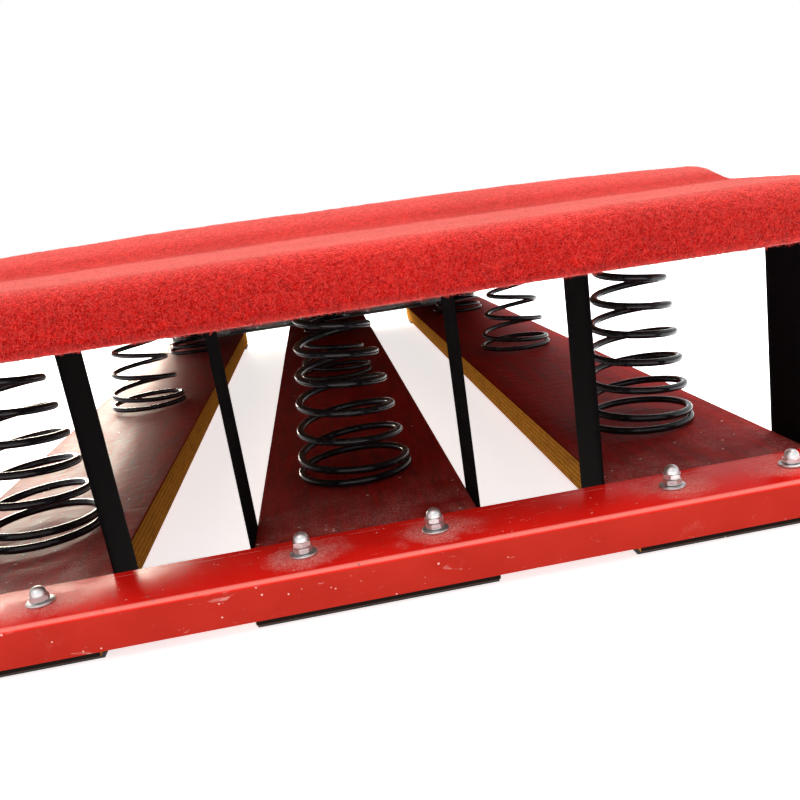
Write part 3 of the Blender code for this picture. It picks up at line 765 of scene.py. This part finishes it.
def make_front_fasteners():
    """Each bolt with its washer, jam nut where there is one, and acorn nut, each nut turned its own way."""
    chance = random.Random(7)

    def fasten(name, rings, node, smooth_angle, closed_path=False):
        mesh = mesh_of(name, *ring_stack(rings, closed_path))
        add_piece(name, mesh, [ZINC], "base", [node], smooth_angle)
    for number in range(1, 7):
        washer = f"washer_{number}"
        centre = node_centre(washer)
        low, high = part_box(washer)
        outer, edge = (high.x - low.x) / 2, 0.25 * MM
        height = high.z - low.z
        profile = [(BOLT_HOLE, 0), (outer - edge, 0), (outer, edge), (outer, height - edge),
                   (outer - edge, height), (BOLT_HOLE + edge, height), (BOLT_HOLE, height - edge)]
        fasten(f"flat_washer_{number}", turned(profile, centre, low.z), washer, 50, True)

        jam = f"jam_nut_{number}"
        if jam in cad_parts:
            low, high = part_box(jam)
            rings = hex_rings(centre, low.z, high.z - low.z, math.radians(chance.uniform(0, 60)))
            fasten(f"lock_nut_{number}", rings, jam, 25)

        low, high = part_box(f"acorn_nut_{number}")
        dome, hex_height = 4.55 * MM, 3.4 * MM
        rings = hex_rings(centre, low.z, hex_height, math.radians(chance.uniform(0, 60)))
        straight = high.z - low.z - dome
        profile = [(dome + 0.12 * MM, hex_height), (dome, hex_height + 0.35 * MM), (dome, straight)]
        profile += [(dome * math.cos(a), straight + dome * math.sin(a))
                    for a in (math.radians(d) for d in range(9, 90, 9))]
        profile += [(0.15 * MM, straight + dome)]
        rings += turned(profile, centre, low.z, 72)
        fasten(f"cap_nut_{number}", rings, f"acorn_nut_{number}", 25)

        low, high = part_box(f"front_bolt_{number}")
        head, ease, length = (high.x - low.x) / 2, 0.3 * MM, high.z - low.z
        profile = [(head * 0.2, 0), (head * 0.8, 0), (head * 0.95, 0.35 * MM), (head, 1.0 * MM),
                   (head, BOLT_HEAD - ease), (head - ease, BOLT_HEAD), (BOLT_SHANK, BOLT_HEAD),
                   (BOLT_SHANK, length - 2 * ease), (BOLT_SHANK - 2 * ease, length)]
        fasten(f"bolt_{number}", turned(profile, centre, low.z, 40), f"front_bolt_{number}", 40)


# ---------------------------------------------------------------- hinge
def leaf_place(above):
    """From a leaf's own plane, pin at (0, 0), to the object's (y, z)."""
    tilt = SLOPE_ANGLE if above else 0.0
    flip = 1 if above else -1

    def placed(y, z):
        z = z * flip
        return (HINGE_Y + y * math.cos(tilt) + z * math.sin(tilt),
                HINGE_Z - y * math.sin(tilt) + z * math.cos(tilt))
    return placed


def make_leaf(name, replaced, above, body):
    """A hinge leaf: plate, then one rolled knuckle in every second place along the pin."""
    low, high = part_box("hinge_pin")
    length = high.x - low.x
    placed = leaf_place(above)
    inner = KNUCKLE_RADIUS - LEAF_THICKNESS
    bore, rim, ease = 1.9 * MM, 0.3 * MM, 0.2 * MM
    step = length / KNUCKLES
    clear = KNUCKLE_RADIUS + 1.0 * MM
    verts, faces = [], []

    def join(part):
        start = len(verts)
        verts.extend(part[0])
        faces.extend(tuple(i + start for i in face) for face in part[1])
    plate = [(-LEAF_REACH, inner + rim), (-LEAF_REACH, KNUCKLE_RADIUS - rim),
             (-LEAF_REACH + rim, KNUCKLE_RADIUS), (-clear, KNUCKLE_RADIUS), (-clear, inner),
             (-LEAF_REACH + rim, inner)]
    join(run_along_x([placed(*p) for p in plate], [
        (-length / 2, rim), (-length / 2 + rim, 0), (length / 2 - rim, 0), (length / 2, rim)]))
    meets = math.degrees(math.asin(inner / KNUCKLE_RADIUS))
    roll = [(-clear, inner), (-clear, KNUCKLE_RADIUS)]
    roll += arc((0, 0), KNUCKLE_RADIUS, 90, -168 + meets, 26)
    roll += arc((0, 0), bore, -168 + meets, 130, 26)
    roll += [(-bore, inner)]
    for i in range(0 if above else 1, KNUCKLES, 2):
        start = -length / 2 + i * step + KNUCKLE_PLAY / 2
        end = start + step - KNUCKLE_PLAY
        join(run_along_x([placed(*p) for p in roll], [
            (start, 0.15 * MM), (start + ease, 0), (end - ease, 0), (end, 0.15 * MM)]))
    add_piece(name, outward(name, verts, faces), [GALVANISED], body, [replaced], 35)


def make_hinge():
    make_leaf("piano_hinge_lower", "hinge_leaf_lower", False, "base")
    make_leaf("piano_hinge_upper", "hinge_leaf_upper", True, "deck")
    low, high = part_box("hinge_pin")
    radius, ease = (high.z - low.z) / 2, 0.4 * MM
    angles = np.linspace(0, 2 * math.pi, 24, endpoint=False)
    rings = [[(x, HINGE_Y + r * math.cos(a), HINGE_Z + r * math.sin(a)) for a in angles]
             for x, r in ((low.x, radius - ease), (low.x + ease, radius),
                          (high.x - ease, radius), (high.x, radius - ease))]
    rod = outward("hinge_rod", *ring_stack(rings))
    add_piece("hinge_rod", rod, [GALVANISED], "base", ["hinge_pin"], 40)


def driver_slot(centre, top, size, depth, turn):
    """Cutter for one of the two crossed slots of a driver recess."""
    bm = bmesh.new()
    bmesh.ops.create_cube(bm, size=1.0, matrix=Matrix.Translation((centre[0], centre[1], top)) @
                          Matrix.Rotation(turn, 4, "Z") @ Matrix.Diagonal((size, size * 0.24, 2 * depth, 1)))
    return mesh_from(bm, "slot")


def pan_screw(name, centre, seat, head_radius, head_height, shank_radius, foot, turn):
    """A pan-head wood screw standing on its seat, with its shank down to foot."""
    steps = 7
    point = min(3 * MM, (seat - foot) / 2)
    profile = [(0.3 * MM, foot - seat), (shank_radius, foot - seat + point), (shank_radius, 0),
               (head_radius, 0), (head_radius, head_height * 0.3)]
    profile += [(head_radius * (0.25 + 0.75 * math.cos(a)), head_height * (0.3 + 0.7 * math.sin(a)))
                for a in (math.pi / 2 * i / steps for i in range(1, steps + 1))]
    screw = outward(name, *ring_stack(turned(profile, centre, seat, 36)))
    for quarter, depth in ((0, 0.55), (1, 0.53)):
        slot = driver_slot(centre, seat + head_height, head_radius * 1.15, head_height * depth,
                           turn + quarter * math.pi / 2)
        screw = cut(screw, slot)
    return screw


def make_rear_screws():
    chance = random.Random(11)
    for number in range(1, 7):
        low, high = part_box(f"rear_screw_{number}")
        centre = (low + high) / 2
        seat = high.z - 2.2 * MM
        screw = pan_screw("screw", centre, seat, (high.x - low.x) / 2, 2.2 * MM, 2.2 * MM, low.z,
                          chance.uniform(0, math.pi))
        add_piece(f"pan_screw_{number}", screw, [ZINC], "base", [f"rear_screw_{number}"], 35)


# ---------------------------------------------------------------- springs and straps
def spring_path(centre_x, centre_y, pitch, per_turn):
    """Centre line of a left-handed conical spring, closed at both ends, its top along the deck."""
    foot = BOARD_TOP + GAP + WIRE_RADIUS
    head = float(underside(centre_y)) + CARPET - WIRE_RADIUS
    height = head - foot
    turns = 2 + (height - 2 * CLOSED_RISE) / pitch
    count = round(turns * per_turn)
    rises = []
    for i in range(count):
        turn = (i + 0.5) / per_turn
        open_part = smooth(turn, 0.75, 1.35) * smooth(turns - turn, 0.75, 1.35)
        rises.append(CLOSED_RISE + (pitch - CLOSED_RISE) * float(open_part))
    heights = np.concatenate([[0.0], np.cumsum(rises)])
    share = heights / heights[-1]
    angle = -2 * math.pi * np.arange(count + 1) / per_turn
    radius = SPRING_BASE_RADIUS + (SPRING_TOP_RADIUS - SPRING_BASE_RADIUS) * share - WIRE_RADIUS
    x, y = radius * np.cos(angle), radius * np.sin(angle)
    z = foot + height * share - deck_slope(centre_y) * y * share
    return np.stack([centre_x + x, centre_y + y, z], 1)


def swept_wire(path, radius, sides):
    """Rings round a path, square cut at both ends with a small chamfer."""
    along = np.gradient(path, axis=0)
    along /= np.linalg.norm(along, axis=1)[:, None]
    side = np.cross(along, (0, 0, 1.0))
    side /= np.linalg.norm(side, axis=1)[:, None]
    up = np.cross(side, along)
    angles = np.linspace(0, 2 * math.pi, sides, endpoint=False)
    chamfer = 0.4 * MM

    def ring(i, r, shift=0.0):
        centre = path[i] + along[i] * shift
        return [centre + r * (math.cos(a) * side[i] + math.sin(a) * up[i]) for a in angles]
    rings = [ring(0, radius - chamfer), ring(0, radius, chamfer)]
    rings += [ring(i, radius) for i in range(1, len(path) - 1)]
    rings += [ring(-1, radius, -chamfer), ring(-1, radius - chamfer)]
    return rings


def make_springs():
    per_turn, sides = 40, 14
    for row in ROWS:
        for side in SIDES:
            node = f"spring_{row}_{side}"
            low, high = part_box(node)
            path = spring_path(node_centre(f"base_board_{side}").x, (low.y + high.y) / 2,
                               SPRING_PITCH[row], per_turn)
            wire = outward("coil", *ring_stack(swept_wire(path, WIRE_RADIUS, sides)))
            coil = add_piece(f"coil_{row}_{side}", wire, [WIRE], "base", [node], 50)
            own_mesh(coil)


def rounded_route(corners, radius, spacing):
    """Points along a polyline with its corners rounded, about spacing apart, each with its direction."""
    corners = [np.array(c, float) for c in corners]
    dense = [corners[0]]
    for before, here, after in zip(corners, corners[1:], corners[2:]):
        a, b = before - here, after - here
        a, b = a / np.linalg.norm(a), b / np.linalg.norm(b)
        cosine = float(np.dot(a, b))
        if cosine < -0.9999:
            dense.append(here)
            continue
        half = math.acos(max(-1.0, min(1.0, cosine))) / 2
        reach = radius / math.tan(half)
        bisector = (a + b) / np.linalg.norm(a + b)
        centre = here + bisector * radius / math.sin(half)
        start, end = here + a * reach - centre, here + b * reach - centre
        total = math.pi - 2 * half
        for i in range(9):
            t = total * i / 8
            dense.append(centre + (math.sin(total - t) * start + math.sin(t) * end) / math.sin(total))
    dense.append(corners[-1])
    dense = np.array(dense)
    lengths = np.concatenate([[0], np.cumsum(np.linalg.norm(np.diff(dense, axis=0), axis=1))])
    count = round(lengths[-1] / spacing)
    stations = np.linspace(0, lengths[-1], count + 1)
    points = np.stack([np.interp(stations, lengths, dense[:, k]) for k in range(dense.shape[1])], 1)
    return points, stations


def make_straps():
    """Webbing loops: under the board, up both its sides and turned in under the deck, selvedges serrated."""
    for side in SIDES:
        low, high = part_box(f"strap_{side}")
        middle_y, half = (low.y + high.y) / 2, (high.y - low.y) / 2
        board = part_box(f"base_board_{side}")
        centre_x = (board[0].x + board[1].x) / 2
        reach = (board[1].x - board[0].x) / 2 + GAP + STRAP_THICKNESS / 2
        top, bottom = high.z - STRAP_THICKNESS / 2, low.z + STRAP_THICKNESS / 2
        route = []
        for sign in (-1, 1):
            head = reach - (STRAP_LEAN if SIGNS[side] == sign else 0.0)
            run = [(centre_x + sign * (head - STRAP_FLAP), top), (centre_x + sign * head, top),
                   (centre_x + sign * reach, BOARD_TOP), (centre_x + sign * reach, bottom)]
            route += run if sign < 0 else list(reversed(run))
        points, stations = rounded_route(route, 2.2 * MM, 0.8 * MM)
        along = np.gradient(points, axis=0)
        along /= np.linalg.norm(along, axis=1)[:, None]
        normal = np.stack([along[:, 1], -along[:, 0]], 1)
        across = np.linspace(-1, 1, 15)
        rings = []
        for point, direction, s in zip(points, normal, stations):
            tooth = abs((s / (1.9 * MM)) % 1 - 0.5) * 2
            width = half - 0.55 * MM + 0.55 * MM * tooth
            ring = []
            for face, sweep in ((1, across), (-1, across[::-1])):
                for u in sweep:
                    thick = STRAP_THICKNESS / 2 * (1 - 0.55 * abs(u) ** 14)
                    offset = point + direction * face * thick
                    ring.append((offset[0], middle_y + u * width, offset[1]))
            rings.append(ring)
        strap = add_piece(f"webbing_{side}", outward("webbing", *ring_stack(rings)), [WEBBING], "base",
                          [f"strap_{side}"], 60)
        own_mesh(strap)


def make_clamps():
    """Flat bars screwed up under the deck over the straps' turned-in ends."""
    chance = random.Random(5)
    for side in SIDES:
        low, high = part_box(f"strap_clamp_{side}")
        clamp = bevelled_box(f"clamp_bar_{side}", low, high, 0.6 * MM)
        add_piece(clamp.name, clamp, [ZINC], "deck", [f"strap_clamp_{side}"], 35)
        for end, x in (("left", low.x + 14 * MM), ("right", high.x - 14 * MM)):
            name = f"clamp_screw_{side}_{end}"
            screw = pan_screw(name, (0, 0), 0, 3.6 * MM, 1.8 * MM, 1.6 * MM, -2 * MM,
                              chance.uniform(0, math.pi))
            screw.transform(Matrix.Translation((x, (low.y + high.y) / 2, low.z))
                            @ Matrix.Rotation(math.pi, 4, "X"))
            screw.update()
            add_piece(name, screw, [ZINC], "deck", (), 35)


# ---------------------------------------------------------------- deck
def slab(name, xs, ys, lower, upper, corner):
    """A closed slab on a grid of x and y lines between two height functions, its plan corners rounded."""
    x, y = np.meshgrid(xs, ys, indexing="ij")
    middle_x, middle_y = (xs[0] + xs[-1]) / 2, (ys[0] + ys[-1]) / 2
    out_x = np.abs(x - middle_x) - ((xs[-1] - xs[0]) / 2 - corner)
    out_y = np.abs(y - middle_y) - ((ys[-1] - ys[0]) / 2 - corner)
    inside = (out_x > 0) & (out_y > 0)
    length = np.where(inside, np.hypot(out_x, out_y), 1.0)
    shrink = np.where(inside, np.maximum(out_x, out_y) / length, 1.0)
    x = x - np.sign(x - middle_x) * np.where(inside, out_x * (1 - shrink), 0.0)
    y = y - np.sign(y - middle_y) * np.where(inside, out_y * (1 - shrink), 0.0)
    top = np.stack([x, y, upper(x, y)], 2).reshape(-1, 3)
    bottom = np.stack([x, y, lower(x, y)], 2).reshape(-1, 3)
    nx, ny = len(xs), len(ys)
    total = nx * ny
    faces = []
    for i in range(nx - 1):
        for j in range(ny - 1):
            a, b, c, d = i * ny + j, (i + 1) * ny + j, (i + 1) * ny + j + 1, i * ny + j + 1
            faces.append((a, b, c, d))
            faces.append((a + total, d + total, c + total, b + total))
    rim = [i * ny for i in range(nx)] + [(nx - 1) * ny + j for j in range(1, ny)]
    rim += [i * ny + ny - 1 for i in range(nx - 2, -1, -1)] + [j for j in range(ny - 2, 0, -1)]
    for a, b in zip(rim, rim[1:] + rim[:1]):
        faces.append((a, a + total, b + total, b))
    return mesh_of(name, np.concatenate([top, bottom]), faces)


def edge_drop(distance, radius):
    inside = np.clip(radius - distance, 0, radius)
    return radius - np.sqrt(np.maximum(radius * radius - inside ** 2, 0))


INSET = CARPET + LAYER_GAP
LAYER_HALF, LAYER_FRONT, LAYER_REAR = WIDTH / 2 - INSET, FRONT_Y + INSET, DECK_REAR_Y - INSET
LAYER_CORNER = CORNER - INSET


def layer_lines(rim, count_x, count_y):
    """Grid lines of a layer inside the carpet: near its edges at the rim's distances, else even."""
    def lines(start, end, count):
        inner = np.linspace(start + LAYER_CORNER, end - LAYER_CORNER, count)[1:-1]
        return np.concatenate([start + rim, inner, end - rim[::-1]])
    return lines(-LAYER_HALF, LAYER_HALF, count_x), lines(LAYER_FRONT, LAYER_REAR, count_y)


def make_panel():
    xs, ys = layer_lines(np.linspace(0, LAYER_CORNER, 7), 9, 110)
    panel = slab("ply_panel", xs, ys, lambda x, y: underside(y) + CARPET + GAP,
                 lambda x, y: underside(y) + CARPET + GAP + PANEL_THICKNESS, LAYER_CORNER)
    add_piece("ply_panel", panel, [BIRCH], "deck", ["deck_panel"], 40)


def make_foam():
    half, front, rear, corner = LAYER_HALF, LAYER_FRONT, LAYER_REAR, LAYER_CORNER
    rim = corner * np.array([0, 0.04, 0.1, 0.2, 0.35, 0.5, 0.65, 0.8, 1.0])
    xs, ys = layer_lines(rim, 60, 150)

    def bottom(x, y):
        return underside(y) + CARPET + 2 * GAP + PANEL_THICKNESS + 0 * x

    def top(x, y):
        nearest = np.minimum(np.minimum(half - np.abs(x), y - front), rear - y)
        out_x = np.maximum(np.abs(x) - (half - corner), 0)
        out_y = np.maximum(np.maximum(y - (rear - corner), (front + corner) - y), 0)
        nearest = np.where((out_x > 0) & (out_y > 0), corner - np.hypot(out_x, out_y), nearest)
        drop = edge_drop(nearest, EDGE_RADIUS - INSET)
        return np.maximum(deck_top(x, y) - INSET - drop, bottom(x, y) + 0.5 * MM)
    foam = add_piece("foam_pad", slab("foam_pad", xs, ys, bottom, top, corner), [FOAM], "deck",
                     ["deck_foam"], 60)


def deck_plan():
    """Grid of the carpet's level part: its points, its faces and its rim as (number, heading) pairs."""
    half = WIDTH / 2 - CORNER
    front, rear = FRONT_Y + CORNER, DECK_REAR_Y - CORNER
    nx = round(2 * half / CARPET_GRID) + 1
    ny = round((rear - front) / CARPET_GRID) + 1
    xs, ys = np.linspace(-half, half, nx), np.linspace(front, rear, ny)
    x, y = np.meshgrid(xs, ys, indexing="ij")
    points = np.stack([x, y], 2).reshape(-1, 2)
    quads = [(i * ny + j, (i + 1) * ny + j, (i + 1) * ny + j + 1, i * ny + j + 1)
             for i in range(nx - 1) for j in range(ny - 1)]
    sides = [([i * ny for i in range(nx)], -90), ([(nx - 1) * ny + j for j in range(ny)], 0),
             ([i * ny + ny - 1 for i in range(nx - 1, -1, -1)], 90),
             (list(range(ny - 1, -1, -1)), 180)]
    rim = []
    fan = 8
    for numbers, heading in sides:
        for number in numbers:
            rim.append((number, heading))
        for k in range(1, fan):
            rim.append((numbers[-1], heading + 90 * k / fan))
    return points, quads, rim


def carpet_surface():
    """The carpet's outer face, from the level top over the rounded edges and down to its turned-in lip."""
    points, quads, rim = deck_plan()
    start = np.array([points[number] for number, _ in rim])
    headings = np.radians([heading for _, heading in rim])
    out = np.stack([np.cos(headings), np.sin(headings)], 1)
    out[np.abs(out) < 1e-9] = 0
    centre = np.array([0, (FRONT_Y + DECK_REAR_Y) / 2])
    half = np.array([WIDTH / 2, (DECK_REAR_Y - FRONT_Y) / 2])

    top = np.concatenate([points, deck_top(points[:, 0], points[:, 1])[:, None]], 1)
    rings = []

    def ring(setback, height):
        """Points at a setback from the deck's outline, in plan; height takes (x, y)."""
        if setback <= CORNER:
            plan = start + out * (CORNER - setback)
        else:
            scale = (half - setback) / (half - CORNER)
            plan = centre + (start - centre) * scale
        rings.append(np.concatenate([plan, height(plan[:, 0], plan[:, 1])[:, None]], 1))
    for setback in (22 * MM, 20 * MM, EDGE_RADIUS):
        ring(setback, deck_top)
    for degrees in range(8, 91, 10):
        a = math.radians(degrees)
        drop = EDGE_RADIUS * (1 - math.cos(a))
        ring(EDGE_RADIUS * (1 - math.sin(a)), lambda x, y: deck_top(x, y) - drop)
    low = LIP_EDGE_RADIUS
    for share in (0.2, 0.4, 0.6, 0.8, 1.0):
        bulge = 0.8 * MM * math.sin(math.pi * share)

        def side(x, y, share=share):
            upper, lower = deck_top(x, y) - EDGE_RADIUS, underside(y) + low
            return upper + (lower - upper) * share
        ring(-bulge, side)
    for degrees in range(15, 91, 15):
        a = math.radians(degrees)
        ring(low * (1 - math.cos(a)), lambda x, y: underside(y) + low * (1 - math.sin(a)))
    for setback in np.linspace(low, CARPET_LIP, 12)[1:]:
        ring(setback, lambda x, y: underside(y))
    ring(CARPET_LIP + 0.4 * MM, lambda x, y: underside(y) + 0.6 * MM)
    ring(CARPET_LIP + 0.4 * MM, lambda x, y: underside(y) + CARPET - 0.1 * MM)

    verts = np.concatenate([top] + rings)
    faces = list(quads)
    count = len(rim)
    previous = [number for number, _ in rim]
    for r in range(len(rings)):
        here = list(range(len(top) + r * count, len(top) + (r + 1) * count))
        for j in range(count):
            k = (j + 1) % count
            quad = [previous[j], here[j], here[k], previous[k]]
            faces.append([v for i, v in enumerate(quad) if v != quad[i - 1]])
        previous = here
    return verts, faces


def ruffle(bm):
    """Uneven padding and matted tufts, as small moves along the surface's own direction."""
    bm.normal_update()
    moves = []
    for vert in bm.verts:
        p = vert.co
        soft = noise.noise(p * 9) * 0.9 * MM + noise.noise(p * 28 + Vector((5, 1, 2))) * 0.35 * MM
        tuft = noise.noise(p * 150) * 0.28 * MM + noise.noise(p * 330 + Vector((3, 7, 1))) * 0.22 * MM
        under = vert.normal.z < -0.5
        moves.append((vert, vert.normal * ((0.2 if under else 1.0) * soft + (0.4 if under else 1.0) * tuft)))
    for vert, move in moves:
        vert.co += move


def make_carpet():
    verts, faces = carpet_surface()
    bm = bmesh.new()
    bm.from_mesh(mesh_of("carpet", verts, faces))
    bmesh.ops.remove_doubles(bm, verts=bm.verts[:], dist=1e-6)
    bmesh.ops.recalc_face_normals(bm, faces=bm.faces[:])
    ruffle(bm)
    carpet = add_piece("carpet", mesh_from(bm, "carpet"), [FELT], "deck",
                       ["deck_carpet"], None)
    carpet.data.shade_smooth()
    return carpet


def make_fibres(carpet):
    """Loose felt fibres: thin bent ribbons rooted all over the carpet."""
    mesh = carpet.data
    rng = np.random.default_rng(3)
    mesh.calc_loop_triangles()
    triangles = np.array([t.vertices[:] for t in mesh.loop_triangles])
    points = np.array([v.co for v in mesh.vertices])
    a, b, c = (points[triangles[:, k]] for k in range(3))
    cross = np.cross(b - a, c - a)
    area = np.linalg.norm(cross, axis=1) / 2
    normal = cross / np.maximum(2 * area, 1e-12)[:, None]
    middle = (a + b + c) / 3
    weight = area * np.where(normal[:, 2] < -0.5, 0.4, np.where(normal[:, 2] < 0.7, 3.0, 1.0))
    at_front = middle[:, 1] < FRONT_Y + CORNER
    weight *= np.where(at_front, np.interp(normal[:, 2], [0.3, 0.97], [7.0, 1.0]), 1.0)
    depth = np.clip((deck_top(middle[:, 0], middle[:, 1]) - middle[:, 2]) / FRONT_THICKNESS, 0, 1)
    hem = (middle[:, 2] < underside(middle[:, 1]) + 5 * MM) & (normal[:, 2] > -0.97)
    weight *= np.where(hem, 3.0, 1.0)
    for name, count, low_down in (("pale", 48000, -0.75), ("red", 48000, 0.0), ("deep", 30000, 2.5)):
        chance = weight * (1 + low_down * depth ** 1.5)
        picked = rng.choice(len(triangles), count, p=chance / chance.sum())
        u, v = rng.random(count), rng.random(count)
        flip = u + v > 1
        u, v = np.where(flip, 1 - u, u), np.where(flip, 1 - v, v)
        root = a[picked] + (b - a)[picked] * u[:, None] + (c - a)[picked] * v[:, None]
        n = normal[picked]
        droop = hem[picked][:, None]
        lean = rng.normal(size=(count, 3)) + droop * np.array([0, 0, -1.6])
        lean -= n * np.sum(lean * n, 1)[:, None]
        lean /= np.linalg.norm(lean, axis=1)[:, None]
        turn = np.cross(n, lean)
        length = rng.uniform(1.2, 3.4, count)[:, None] * MM
        lift = rng.uniform(0.05, 0.5, count)[:, None] * np.where(n[:, 2:] > 0.7, 0.35, 1.0)
        lift = np.where(droop, 0.2 + 1.3 * lift, lift)
        curl = rng.normal(0, 0.35, count)[:, None]
        width = rng.uniform(0.06, 0.12, count)[:, None] * MM
        p0 = root - n * 0.15 * MM
        p1 = root + (lean + curl * turn) * length * 0.5 + n * lift * length * 0.6
        rise = 0.7 if name == "pale" else 0.4
        p2 = root + (lean - curl * turn) * length * 0.95 + n * lift * length * rise
        rows = [p0 - turn * width, p0 + turn * width, p1 - turn * width, p1 + turn * width,
                p2 - turn * width * 0.3, p2 + turn * width * 0.3]
        verts = np.stack(rows, 1).reshape(-1, 3)
        base = np.arange(count)[:, None] * 6
        faces = np.concatenate([base + [0, 1, 3, 2], base + [2, 3, 5, 4]])
        ribbons = mesh_of(f"felt_fibres_{name}", verts, faces.tolist())
        add_piece(ribbons.name, ribbons, [FIBRES[name]], "deck", (), None)


make_camera()
make_studio()
make_boards()
make_pads()
make_angle()
make_front_fasteners()
make_hinge()
make_rear_screws()
make_springs()
make_straps()
make_clamps()
make_panel()
make_foam()
make_fibres(make_carpet())
